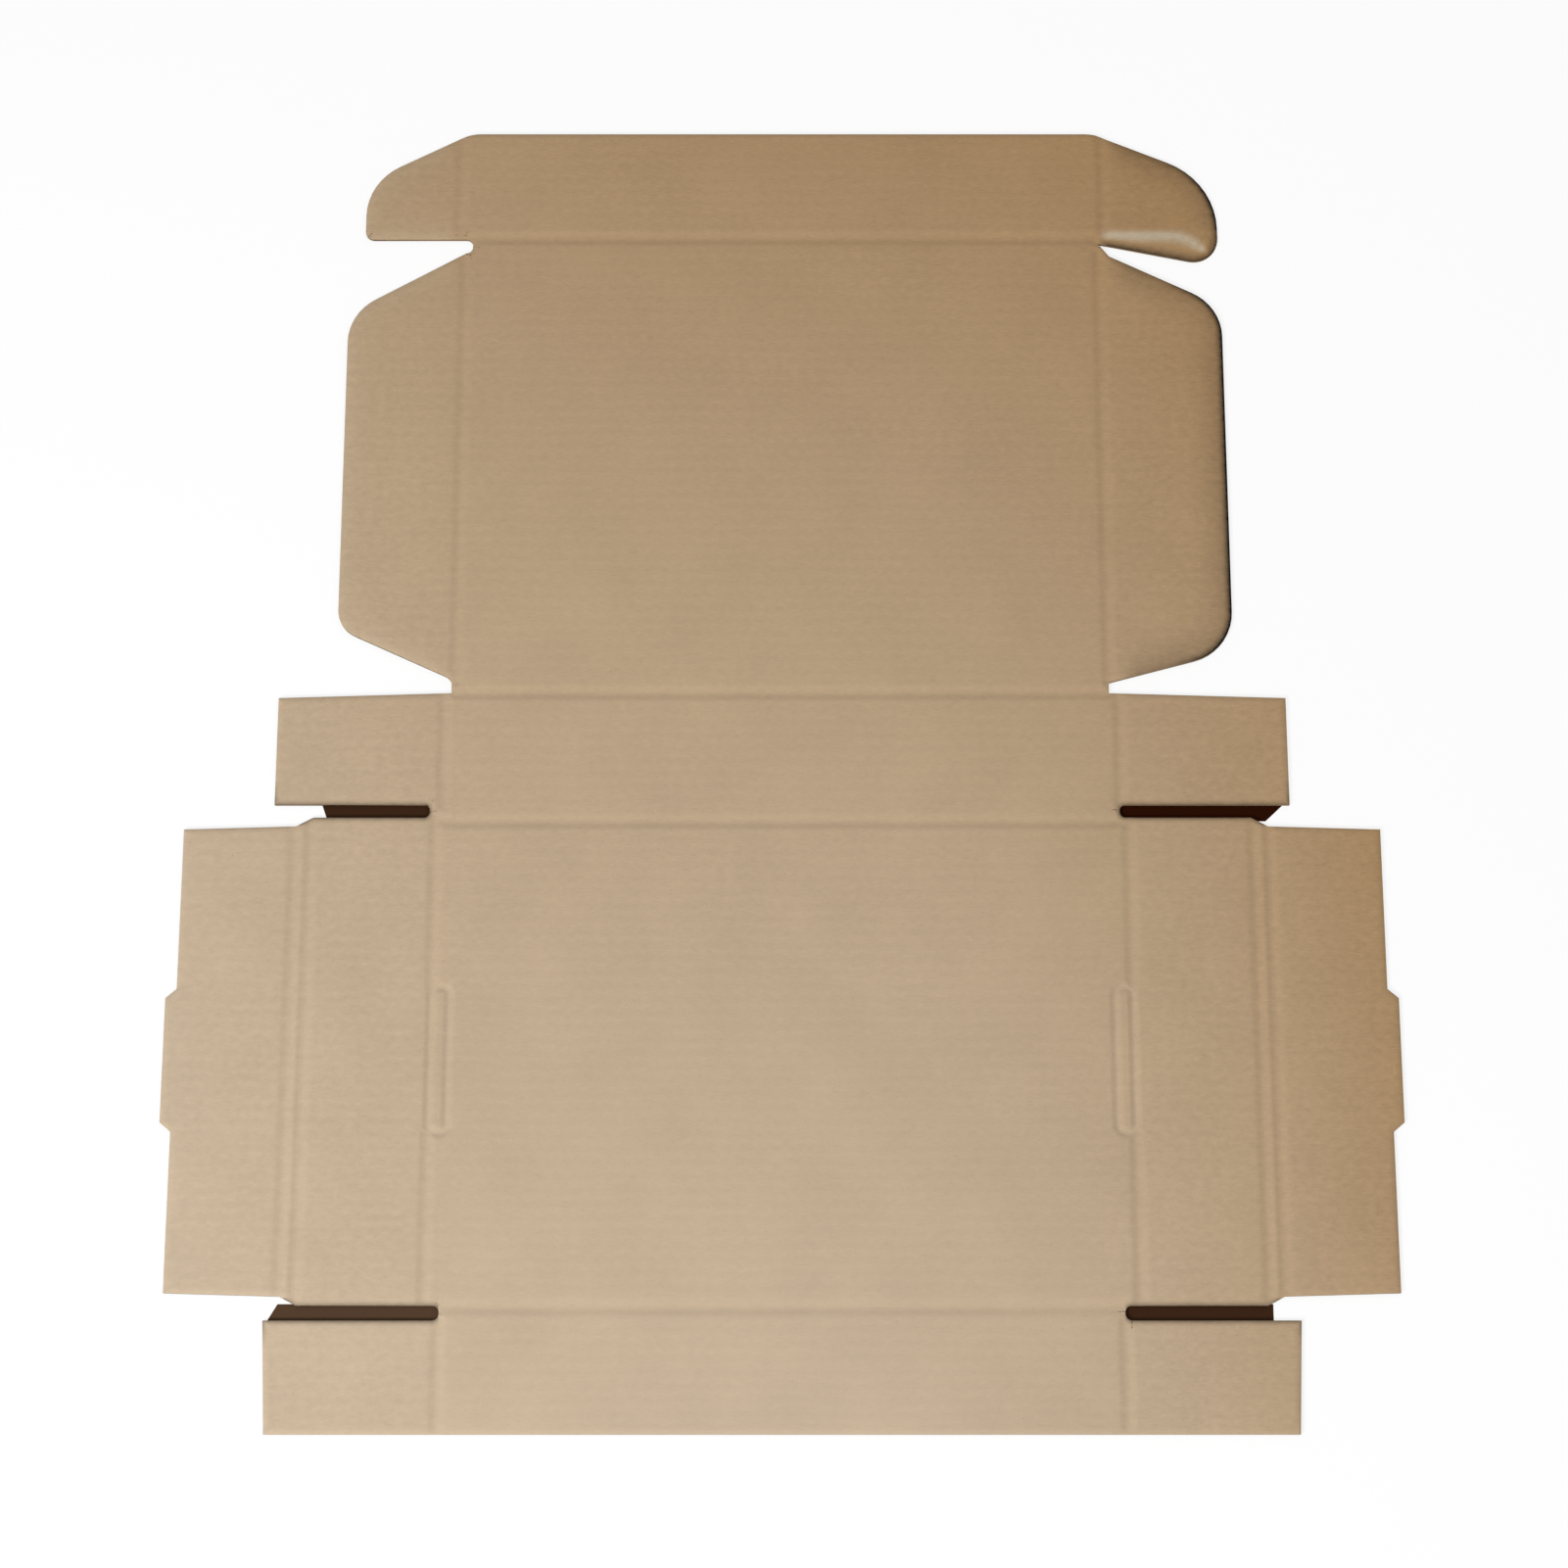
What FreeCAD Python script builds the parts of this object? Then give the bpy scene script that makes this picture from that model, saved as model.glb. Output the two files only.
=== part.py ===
import FreeCAD, Part
import math
import os

import Sketcher

# Flattened mailing box: one die-cut sheet of single-wall corrugated board.
# It lies with its inner face up. +Y runs to the closing flap, +X to the right,
# and the underside lies on z = 0 with the origin in the middle of the outline.
# The panels, from -Y to +Y: front wall, base, back wall, lid, closing flap.

SIZES = {
    # Board, and what the die does to it
    "board_thickness": 3.0,
    "crease_width": 6.0,
    "crease_drop": 0.9,
    "crush_width": 3.2,
    "crush_drop": 1.1,
    "slit_end_flat": 0.45,
    # Fluting seen in the cut ends
    "flute_pitch": 6.3,
    "flute_depth": 9.0,
    "liner_thickness": 0.35,
    "medium_thickness": 0.35,
    # Base, walls and lid of the folded box
    "base_width": 324.0,
    "base_depth": 225.5,
    "wall_height": 58.4,
    "front_wall_relief": 1.9,
    "back_wall_rise": 4.1,
    "lid_allowance": 5.5,
    "lid_inset": 7.5,
    "closing_flap_depth": 56.0,
    # Side walls, double rims, inner walls and lock tabs
    "rim_width": 7.0,
    "rim_corner": 7.0,
    "inner_wall_play": 3.1,
    "inner_wall_inset": 4.2,
    "inner_wall_taper": 1.5,
    "lock_slot_length": 67.6,
    "lock_slot_width": 8.3,
    "lock_cut_width": 3.2,
    "lock_cut_drop": 1.3,
    "lock_tab_clearance": 0.6,
    "lock_tab_depth": 5.1,
    "lock_tab_slant": 4.3,
    # Tabs of the back and front walls, and the slits that free them
    "back_tab_inset": 3.0,
    "back_tab_length": 78.8,
    "back_tab_taper": 2.4,
    "back_slit_width": 6.2,
    "back_slit_offset": 5.05,
    "back_slit_left_overrun": 3.0,
    "back_slit_right_overrun": 3.8,
    "front_tab_inset": 7.0,
    "front_tab_length": 79.4,
    "front_tab_taper": 2.4,
    "front_slit_width": 6.6,
    "front_slit_offset": 2.65,
    # Dust flaps of the lid, which differ from left to right
    "dust_flap_gap": 5.2,
    "left_dust_flap_length": 56.6,
    "left_dust_flap_top_slope": 31.4,
    "left_dust_flap_top_radius": 25.0,
    "left_dust_flap_low_slope": 26.9,
    "left_dust_flap_low_radius": 14.0,
    "left_root_gap": 1.8,
    "left_root_radius": 5.0,
    "right_dust_flap_length": 59.4,
    "right_dust_flap_top_slope": 26.0,
    "right_dust_flap_top_radius": 25.0,
    "right_dust_flap_low_slope": 15.7,
    "right_dust_flap_low_radius": 25.0,
    # Ears of the closing flap and the notches under them
    "shoulder_inset": 1.0,
    "shoulder_radius": 20.0,
    "ear_crease_offset": 3.0,
    "left_ear_length": 49.5,
    "left_ear_slope": 25.5,
    "left_ear_radius": 29.0,
    "left_ear_tip_rounding": 1.0,
    "left_notch_width": 7.3,
    "right_ear_length": 58.7,
    "right_ear_slope": 24.7,
    "right_ear_radius": 38.0,
    "right_ear_tip_radius": 12.0,
    "right_ear_sag": 14.0,
    "right_notch_drop": 2.25,
    "right_notch_width": 6.6,
    "right_notch_reach": 5.3,
}


class Size:
    """A length as the expression that binds it to the sheet, with its value."""

    def __init__(self, text, value):
        self.text = text
        self.value = value

    def __add__(self, other):
        other = sized(other)
        return Size(f"({self.text} + {other.text})", self.value + other.value)

    def __sub__(self, other):
        other = sized(other)
        return Size(f"({self.text} - {other.text})", self.value - other.value)

    def __mul__(self, other):
        other = sized(other)
        return Size(f"({self.text} * {other.text})", self.value * other.value)

    def __truediv__(self, other):
        other = sized(other)
        return Size(f"({self.text} / {other.text})", self.value / other.value)

    def __neg__(self):
        return Size(f"(0 - {self.text})", -self.value)

    def rounded_up(self):
        return Size(f"ceil({self.text})", float(math.ceil(self.value)))

    def rounded_down(self):
        return Size(f"floor({self.text})", float(math.floor(self.value)))


def sized(number):
    """A plain number as a Size, and a Size as it is."""
    if isinstance(number, Size):
        return number
    return Size(f"{number:g}", float(number))


def make_sheet():
    """The spreadsheet of driving dimensions, one alias a row."""
    new_sheet = doc.addObject("Spreadsheet::Sheet", "Sizes")
    for row, (alias, value) in enumerate(SIZES.items(), start=1):
        new_sheet.set(f"A{row}", alias)
        new_sheet.set(f"B{row}", f"{value:g}")
        new_sheet.setAlias(f"B{row}", alias)
    doc.recompute()
    return new_sheet


doc = FreeCAD.newDocument("BoxBlank")
sheet = make_sheet()


def size(alias):
    """A driving dimension of the sheet."""
    return Size(f"Sizes.{alias}", float(sheet.get(alias)))


def new_sketch(body, name, role="XY_Plane", offset=None):
    """An empty sketch on an origin plane, moved along its normal by the offset."""
    plane = next(f for f in body.Origin.OriginFeatures if f.Role == role)
    sketch = body.newObject("Sketcher::SketchObject", name)
    sketch.AttachmentSupport = [(plane, "")]
    sketch.MapMode = "FlatFace"
    sketch.Visibility = False
    if offset is not None:
        sketch.setExpression("AttachmentOffset.Base.z", offset.text)
    return sketch


def bind(sketch, constraint, length):
    """Adds a constraint whose value follows an expression."""
    index = sketch.addConstraint(constraint)
    sketch.setExpression(f"Constraints[{index}]", length.text)


def pin(sketch, element, end, x, y):
    """Holds one end of a sketch element at a place of its own."""
    across = Sketcher.Constraint("DistanceX", -1, 1, element, end, x.value)
    bind(sketch, across, x)
    along = Sketcher.Constraint("DistanceY", -1, 1, element, end, y.value)
    bind(sketch, along, y)


def corner_arc(here, before, after, radius):
    """The arc that rounds a corner, its two ends and the end that comes first."""
    half_angle = before.getAngle(after) / 2
    reach = radius / math.tan(half_angle)
    inward = (before + after).normalize()
    centre = here + inward * (radius / math.sin(half_angle))
    first = here + before * reach
    last = here + after * reach
    turns_left = before.cross(after).z < 0
    start, end = (first, last) if turns_left else (last, first)
    from_angle = math.atan2(start.y - centre.y, start.x - centre.x)
    to_angle = math.atan2(end.y - centre.y, end.x - centre.x)
    if to_angle < from_angle:
        to_angle += 2 * math.pi
    circle = Part.Circle(centre, FreeCAD.Vector(0, 0, 1), radius)
    arc = Part.ArcOfCircle(circle, from_angle, to_angle)
    return arc, first, last, 1 if turns_left else 2


def outline(sketch, corners):
    """Closes an outline through corners of (x, y) or (x, y, rounding radius)."""
    count = len(corners)
    places = [FreeCAD.Vector(c[0].value, c[1].value, 0) for c in corners]
    bends = []
    for i, corner in enumerate(corners):
        here = places[i]
        if len(corner) == 2:
            bends.append((None, here, here, 0))
            continue
        before = (places[i - 1] - here).normalize()
        after = (places[(i + 1) % count] - here).normalize()
        bends.append(corner_arc(here, before, after, corner[2].value))
    sides = []
    for i in range(count):
        side = Part.LineSegment(bends[i][2], bends[(i + 1) % count][1])
        sides.append(sketch.addGeometry(side, False))
    for i, corner in enumerate(corners):
        arc, _, _, first_end = bends[i]
        side_before, side_after = sides[i - 1], sides[i]
        if arc is None:
            joint = Sketcher.Constraint("Coincident", side_before, 2, side_after, 1)
            sketch.addConstraint(joint)
            pin(sketch, side_after, 1, corner[0], corner[1])
            continue
        bend = sketch.addGeometry(arc, False)
        mark = sketch.addGeometry(Part.Point(places[i]), True)
        last_end = 3 - first_end
        sketch.addConstraint([
            Sketcher.Constraint("Tangent", side_before, 2, bend, first_end),
            Sketcher.Constraint("Tangent", bend, last_end, side_after, 1),
            Sketcher.Constraint("PointOnObject", mark, 1, side_before),
            Sketcher.Constraint("PointOnObject", mark, 1, side_after),
        ])
        radius = corner[2]
        bind(sketch, Sketcher.Constraint("Radius", bend, radius.value), radius)
        pin(sketch, mark, 1, corner[0], corner[1])


def pad_panel(name, corners):
    """A flat panel of board with this outline."""
    sketch = new_sketch(blank, f"{name}Outline")
    outline(sketch, corners)
    pad = blank.newObject("PartDesign::Pad", name)
    pad.Profile = sketch
    pad.setExpression("Length", thickness.text)
    pad.Refine = True


def cut_through(name, outlines):
    """Knife cuts through the whole board, one for each outline."""
    sketch = new_sketch(blank, f"{name}Outline")
    for corners in outlines:
        outline(sketch, corners)
    pocket = blank.newObject("PartDesign::Pocket", name)
    pocket.Profile = sketch
    pocket.Type = "ThroughAll"
    pocket.Reversed = True
    pocket.Refine = True


def groove_section(sketch, place):
    """Section of a pressed groove: an arc that sags below the upper face."""
    width, drop = size("crease_width"), size("crease_drop")
    radius = (width * width / 4 + drop * drop) / (drop * 2)
    first, last = place - width / 2, place + width / 2
    half_angle = math.asin((width / radius).value / 2)
    straight_down = 1.5 * math.pi
    centre = FreeCAD.Vector(place.value, (thickness - drop + radius).value, 0)
    circle = Part.Circle(centre, FreeCAD.Vector(0, 0, 1), radius.value)
    arc = Part.ArcOfCircle(circle, straight_down - half_angle, straight_down + half_angle)
    left_end = FreeCAD.Vector(first.value, thickness.value, 0)
    right_end = FreeCAD.Vector(last.value, thickness.value, 0)
    bottom = sketch.addGeometry(arc, False)
    top = sketch.addGeometry(Part.LineSegment(right_end, left_end), False)
    sketch.addConstraint([
        Sketcher.Constraint("Coincident", bottom, 2, top, 1),
        Sketcher.Constraint("Coincident", top, 2, bottom, 1),
    ])
    pin(sketch, bottom, 1, first, thickness)
    pin(sketch, bottom, 2, last, thickness)
    bind(sketch, Sketcher.Constraint("Radius", bottom, radius.value), radius)


def crease(name, role, middle, places, length):
    """Pressed creases at these places, square to an origin plane."""
    sketch = new_sketch(body, f"{name}Section", role, middle)
    for place in places:
        groove_section(sketch, place)
    pocket = body.newObject("PartDesign::Pocket", name)
    pocket.Profile = sketch
    pocket.Midplane = True
    pocket.setExpression("Length", length.text)
    pocket.Refine = True


def crease_across(name, y, half_length):
    """A crease along X, as long on the left as on the right."""
    crease(name, "YZ_Plane", None, [y], half_length * 2)


def crease_pair(name, half_spacing, low, high):
    """Two creases along Y, one on each side, from the low end to the high end."""
    places = [-half_spacing, half_spacing]
    crease(name, "XZ_Plane", -(low + high) / 2, places, high - low)


thickness = size("board_thickness")
wall_height = size("wall_height")

# Places along Y
front_height = wall_height - size("front_wall_relief")
back_height = wall_height + size("back_wall_rise")
lid_depth = size("base_depth") + size("lid_allowance")
wall_depths = front_height + size("base_depth") + back_height
total_depth = wall_depths + lid_depth + size("closing_flap_depth")
front_edge = -total_depth / 2
front_crease = front_edge + front_height
back_crease = front_crease + size("base_depth")
lid_crease = back_crease + back_height
closing_crease = lid_crease + lid_depth
top_edge = closing_crease + size("closing_flap_depth")
base_middle = (front_crease + back_crease) / 2
front_slit = front_crease - size("front_slit_offset")
front_slit_low = front_slit - size("front_slit_width") / 2
front_slit_high = front_slit + size("front_slit_width") / 2
back_slit = back_crease + size("back_slit_offset")
back_slit_low = back_slit - size("back_slit_width") / 2
back_slit_high = back_slit + size("back_slit_width") / 2
low_notch = lid_crease + size("dust_flap_gap")
left_notch = closing_crease - size("left_notch_width")
right_notch = closing_crease - size("right_notch_drop")

# Places along X
base_half = size("base_width") / 2
lid_half = base_half - size("lid_inset")
side_out = base_half + wall_height
rim_out = side_out + size("rim_width")
inner_out = rim_out + wall_height - thickness - size("inner_wall_play")
back_tab_root = base_half - size("back_tab_inset")
back_tab_out = back_tab_root + size("back_tab_length")
front_tab_root = base_half - size("front_tab_inset")
front_tab_out = front_tab_root + size("front_tab_length")
left_root = lid_half + size("left_root_gap")

# The lock tab on each inner wall fits the slot in the base
slot_half_length = size("lock_slot_length") / 2
slot_half_width = size("lock_slot_width") / 2
slot_middle = base_half - slot_half_width


def base_panel():
    """Base with both side walls, double rims, inner walls and lock tabs."""
    taper = size("inner_wall_taper")
    corner = side_out - size("rim_corner")
    low = front_slit_high + size("inner_wall_inset")
    high = back_slit_low - size("inner_wall_inset")
    tab_half = slot_half_length - size("lock_tab_clearance")
    tab_out = inner_out + size("lock_tab_depth")
    tab_low = base_middle - tab_half
    tab_high = base_middle + tab_half
    slant = size("lock_tab_slant")
    upwards = [
        (corner, front_slit),
        (rim_out, low),
        (inner_out, low + taper),
        (inner_out, tab_low),
        (tab_out, tab_low + slant),
        (tab_out, tab_high - slant),
        (inner_out, tab_high),
        (inner_out, high - taper),
        (rim_out, high),
        (corner, back_slit),
    ]
    downwards = [(-x, y) for x, y in reversed(upwards)]
    pad_panel("Base", upwards + downwards)


def front_panel():
    """Front wall with a tab at each end, narrower at the edge of the sheet."""
    narrow = front_tab_out - size("front_tab_taper")
    pad_panel("FrontWall", [
        (-narrow, front_edge),
        (narrow, front_edge),
        (front_tab_out, front_slit),
        (-front_tab_out, front_slit),
    ])


def back_panel():
    """Back wall with a tab at each end, lower at its outer end."""
    low_corner = lid_crease - size("back_tab_taper")
    pad_panel("BackWall", [
        (-back_tab_out, back_slit),
        (back_tab_out, back_slit),
        (back_tab_out, low_corner),
        (lid_half, lid_crease),
        (-left_root, lid_crease),
        (-back_tab_out, low_corner),
    ])


def lid_panel():
    """Lid with its two dust flaps."""
    left_out = lid_half + size("left_dust_flap_length")
    left_top = left_notch - size("left_dust_flap_top_slope")
    left_low = low_notch + size("left_dust_flap_low_slope")
    right_out = lid_half + size("right_dust_flap_length")
    right_shoulder = right_notch - size("right_notch_width")
    right_top = right_shoulder - size("right_dust_flap_top_slope")
    right_low = low_notch + size("right_dust_flap_low_slope")
    pad_panel("Lid", [
        (-left_root, lid_crease),
        (lid_half, lid_crease),
        (lid_half, low_notch),
        (right_out, right_low, size("right_dust_flap_low_radius")),
        (right_out, right_top, size("right_dust_flap_top_radius")),
        (lid_half + size("right_notch_reach"), right_shoulder),
        (lid_half, right_notch),
        (lid_half, closing_crease),
        (-lid_half, closing_crease),
        (-lid_half, left_notch),
        (-left_out, left_top, size("left_dust_flap_top_radius")),
        (-left_out, left_low, size("left_dust_flap_low_radius")),
        (-left_root, low_notch + size("left_root_gap"), size("left_root_radius")),
    ])


def closing_panel():
    """Closing flap with its two rounded ears."""
    shoulder = lid_half - size("shoulder_inset")
    left_tip = lid_half + size("left_ear_length")
    left_tip_radius = size("crush_width") + size("left_ear_tip_rounding")
    right_tip = lid_half + size("right_ear_length")
    right_low = closing_crease - size("right_ear_sag")
    pad_panel("ClosingFlap", [
        (lid_half, closing_crease),
        (lid_half, right_notch),
        (right_tip, right_low, size("right_ear_tip_radius")),
        (right_tip, top_edge - size("right_ear_slope"), size("right_ear_radius")),
        (shoulder, top_edge, size("shoulder_radius")),
        (-shoulder, top_edge, size("shoulder_radius")),
        (-left_tip, top_edge - size("left_ear_slope"), size("left_ear_radius")),
        (-left_tip, closing_crease, left_tip_radius),
    ])


def slit(tip, end, low, high):
    """Outline of a slit with a rounded inner tip and an open outer end."""
    radius = (high - low) / 2 - size("slit_end_flat")
    return [(tip, low, radius), (end, low), (end, high), (tip, high, radius)]


def slits():
    """Slits that free the tabs, and the notch under the left ear."""
    past_tab = size("crush_width") * 2
    back_end = back_tab_out + past_tab
    left_tip = base_half + size("back_slit_left_overrun")
    right_tip = base_half - size("back_slit_right_overrun")
    cut_through("BackSlits", [
        slit(right_tip, back_end, back_slit_low, back_slit_high),
        slit(-left_tip, -back_end, back_slit_low, back_slit_high),
    ])
    front_end = front_tab_out + past_tab
    cut_through("FrontSlits", [
        slit(front_tab_root, front_end, front_slit_low, front_slit_high),
        slit(-front_tab_root, -front_end, front_slit_low, front_slit_high),
    ])
    tip_depth = size("left_notch_width") / 2 - size("slit_end_flat")
    notch_end = lid_half + past_tab
    cut_through("LeftNotch", [
        slit(tip_depth - lid_half, -notch_end, left_notch, closing_crease),
    ])


def is_upper(face):
    """Whether a face looks straight up."""
    return face.normalAt(0, 0).z > 0.99


def crushed_edges():
    """The blank with its upper face crushed by the knives along every cut."""
    shape = blank.Shape
    upper = max(filter(is_upper, shape.Faces), key=lambda face: face.Area)
    width, drop = size("crush_width").value, size("crush_drop").value
    edges = []
    for index, edge in enumerate(shape.Edges, start=1):
        if not any(edge.isSame(cut) for cut in upper.Edges):
            continue
        owner = next(f for f in shape.Faces if any(edge.isSame(e) for e in f.Edges))
        edges.append((index, width, drop) if is_upper(owner) else (index, drop, width))
    crush = doc.addObject("Part::Chamfer", "CrushedEdges")
    crush.Base = blank
    crush.Edges = edges
    doc.recompute()
    return crush


def creases():
    """Pressed creases between the panels."""
    crease_across("FrontCrease", front_crease, front_tab_root)
    crease_across("BackCrease", back_crease, base_half)
    crease_across("LidCrease", lid_crease, lid_half)
    crease_across("ClosingCrease", closing_crease, lid_half)
    slot_low = base_middle - slot_half_length
    slot_high = base_middle + slot_half_length
    ear_half = lid_half + size("ear_crease_offset")
    crease_pair("BaseCreasesFront", base_half, front_slit_high, slot_low)
    crease_pair("BaseCreasesBack", base_half, slot_high, back_slit_low)
    crease_pair("SideCreases", side_out, front_slit_high, back_slit_low)
    crease_pair("RimCreases", rim_out, front_slit_high, back_slit_low)
    crease_pair("FrontTabCreases", front_tab_root, front_edge, front_slit_low)
    crease_pair("BackTabCreases", back_tab_root, back_slit_high, lid_crease)
    crease_pair("DustFlapCreases", lid_half, low_notch, left_notch)
    crease_pair("EarCreases", ear_half, closing_crease, top_edge)


def lock_cut(name, middle):
    """The knife line round a lock slot, crushed to a V, with its plug still in."""
    radius = slot_half_width - size("slit_end_flat")
    left, right = middle - slot_half_width, middle + slot_half_width
    low, high = base_middle - slot_half_length, base_middle + slot_half_length
    path = new_sketch(body, f"{name}Path")
    outline(path, [
        (left, low, radius),
        (right, low, radius),
        (right, high, radius),
        (left, high, radius),
    ])
    section = new_sketch(body, f"{name}Section", "XZ_Plane", -base_middle)
    half_cut = size("lock_cut_width") / 2
    outline(section, [
        (right - half_cut, thickness),
        (right, thickness - size("lock_cut_drop")),
        (right + half_cut, thickness),
    ])
    groove = body.newObject("PartDesign::SubtractivePipe", name)
    groove.Profile = section
    groove.Spine = path
    groove.Mode = "Binormal"
    groove.Binormal = FreeCAD.Vector(0, 0, 1)
    groove.Refine = True


def flute_ends(name, side, edge, low, high):
    """Open ends of the flutes in a straight cut edge, between two places along Y.

    The crushed edge flattens the flutes there, so each one shows as a low
    triangle that stands on the lower liner and one that hangs from the upper.
    The flutes keep one spacing over the whole sheet, counted from its front edge.
    """
    pitch = size("flute_pitch")
    medium = size("medium_thickness")
    bottom = size("liner_thickness")
    top = thickness - size("crush_drop") - size("liner_thickness")
    half_foot = pitch / 2 - medium
    first = ((low + half_foot - front_edge) / pitch).rounded_up()
    last = ((high - half_foot - front_edge) / pitch - 0.5).rounded_down()
    standing = front_edge + first * pitch
    hanging = standing + pitch / 2
    inner_end = (edge - size("flute_depth")) * side
    sketch = new_sketch(body, f"{name}Flute", "YZ_Plane", inner_end)
    outline(sketch, [
        (standing - half_foot, bottom),
        (standing + half_foot, bottom),
        (standing, top - medium),
    ])
    outline(sketch, [
        (hanging - half_foot, top),
        (hanging, bottom + medium),
        (hanging + half_foot, top),
    ])
    pocket = body.newObject("PartDesign::Pocket", f"{name}FluteEnd")
    pocket.Profile = sketch
    pocket.Type = "ThroughAll"
    pocket.Reversed = side > 0
    pocket.Refine = False
    pattern = body.newObject("PartDesign::LinearPattern", f"{name}FluteEnds")
    pattern.Originals = [pocket]
    pattern.Direction = (sketch, ["H_Axis"])
    pattern.Mode = "Spacing"
    pattern.setExpression("Offset", pitch.text)
    pattern.setExpression("Occurrences", (last - first + 1).text)
    pattern.Refine = False
    body.Tip = pattern


def open_flutes():
    """Flute ends of the inner walls, the wall tabs and the dust flaps."""
    crush = size("crush_width")
    inner_end = size("inner_wall_inset") + size("inner_wall_taper") + crush
    inner_range = front_slit_high + inner_end, back_slit_low - inner_end
    front_range = front_edge + crush, front_slit_low - crush
    back_range = back_slit_high + crush, lid_crease - size("back_tab_taper") - crush
    front_out = front_tab_out - size("front_tab_taper")
    flap_tops = {"left": left_notch, "right": right_notch - size("right_notch_width")}
    for side, hand in ((-1, "left"), (1, "right")):
        title = hand.capitalize()
        flute_ends(f"{title}InnerWall", side, inner_out, *inner_range)
        flute_ends(f"{title}FrontTab", side, front_out, *front_range)
        flute_ends(f"{title}BackTab", side, back_tab_out, *back_range)
        flap = f"{hand}_dust_flap"
        low = low_notch + size(f"{flap}_low_slope") + size(f"{flap}_low_radius")
        high = flap_tops[hand] - size(f"{flap}_top_slope") - size(f"{flap}_top_radius")
        flap_out = lid_half + size(f"{flap}_length")
        flute_ends(f"{title}DustFlap", side, flap_out, low, high)


def check_cuts(a_body):
    """Stops the build if a cut left as many faces as it found."""
    for feature in a_body.Group:
        cuts = feature.isDerivedFrom("PartDesign::Pocket") or "Cut" in feature.Name
        if not cuts or not feature.isDerivedFrom("PartDesign::Feature"):
            continue
        if len(feature.Shape.Faces) <= len(feature.BaseFeature.Shape.Faces):
            raise RuntimeError(f"{feature.Name} cuts nothing")


def check_document():
    """Stops the build if an object failed or a shape isn't one whole solid."""
    for item in doc.Objects:
        if "Invalid" in item.State or "Error" in item.State:
            raise RuntimeError(f"{item.Name} failed: {item.State}")
    if body.Shape.isNull() or not body.Shape.isValid():
        raise RuntimeError("the blank has no valid shape")
    if len(body.Shape.Solids) != 1:
        raise RuntimeError("the blank isn't one solid")
    check_cuts(blank)
    check_cuts(body)


blank = doc.addObject("PartDesign::Body", "BlankOutline")
base_panel()
front_panel()
back_panel()
lid_panel()
closing_panel()
slits()
doc.recompute()

body = doc.addObject("PartDesign::Body", "BoxBlank")
body.Label = "box_blank"
body.BaseFeature = crushed_edges()
creases()
lock_cut("LeftLockCut", -slot_middle)
lock_cut("RightLockCut", slot_middle)
open_flutes()
doc.recompute()
check_document()

os.makedirs("parts", exist_ok=True)
body.Shape.exportStep(f"parts/{body.Label}.step")
print(f"{body.Label}: {body.Shape.Volume:.0f} mm3, {len(body.Shape.Faces)} faces")
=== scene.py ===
# %% [markdown]
# The object is a flattened mailing box: one die-cut sheet of corrugated kraft
# board, lying with its inner face up. The measured model gives its outline, its
# thickness and the open ends of its flutes. This lesson dresses it: it gives the
# upper face the soft shapes that a die and a press leave, and the paper its look.
# Everything is in metres, +Y runs to the closing flap and z = 0 is the underside.

# %% Load the measured sheet
import math

import bpy
import numpy as np
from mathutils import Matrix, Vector


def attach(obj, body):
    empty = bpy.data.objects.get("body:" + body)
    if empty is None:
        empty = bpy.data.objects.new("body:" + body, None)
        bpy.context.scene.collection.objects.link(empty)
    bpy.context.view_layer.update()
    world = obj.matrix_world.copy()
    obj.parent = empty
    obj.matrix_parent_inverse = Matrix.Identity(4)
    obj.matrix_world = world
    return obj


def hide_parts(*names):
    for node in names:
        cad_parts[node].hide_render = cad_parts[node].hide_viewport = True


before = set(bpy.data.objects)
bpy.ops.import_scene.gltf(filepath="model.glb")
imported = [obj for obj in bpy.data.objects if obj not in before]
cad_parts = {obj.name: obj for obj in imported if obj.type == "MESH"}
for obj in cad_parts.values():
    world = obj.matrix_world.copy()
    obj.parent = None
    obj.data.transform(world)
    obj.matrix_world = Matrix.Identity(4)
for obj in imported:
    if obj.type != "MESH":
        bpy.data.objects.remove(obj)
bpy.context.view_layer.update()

MM = 0.001

# %% [markdown]
# The photograph looks down on the sheet from above its front half, tilted by
# 14.4 degrees towards the closing flap. The pitch of the flutes shrinks up the
# picture, and that gave both the tilt and the height of the camera. The lens
# follows from the same measurement on a 36 mm sensor.

# %% Camera at the photograph's viewing angle
CAMERA_TILT = math.radians(14.4)
bpy.ops.object.camera_add(location=(0.0009, -0.4059, 1.5222), rotation=(CAMERA_TILT, 0, 0))
camera = bpy.context.object
camera.name = "photo_camera"
camera.data.sensor_width = 36
camera.data.lens = 76.79
bpy.context.scene.camera = camera
bpy.context.scene.view_settings.view_transform = "Standard"
print("camera", [round(n, 4) for n in camera.location], "lens", round(camera.data.lens, 2))

# %% [markdown]
# Shader maths reads best as plain expressions. This small class wraps one output
# socket, so that 1 - mask or a * b adds its own Math nodes, and one method adds
# any other node from its settings and the values or links of its sockets.


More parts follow.
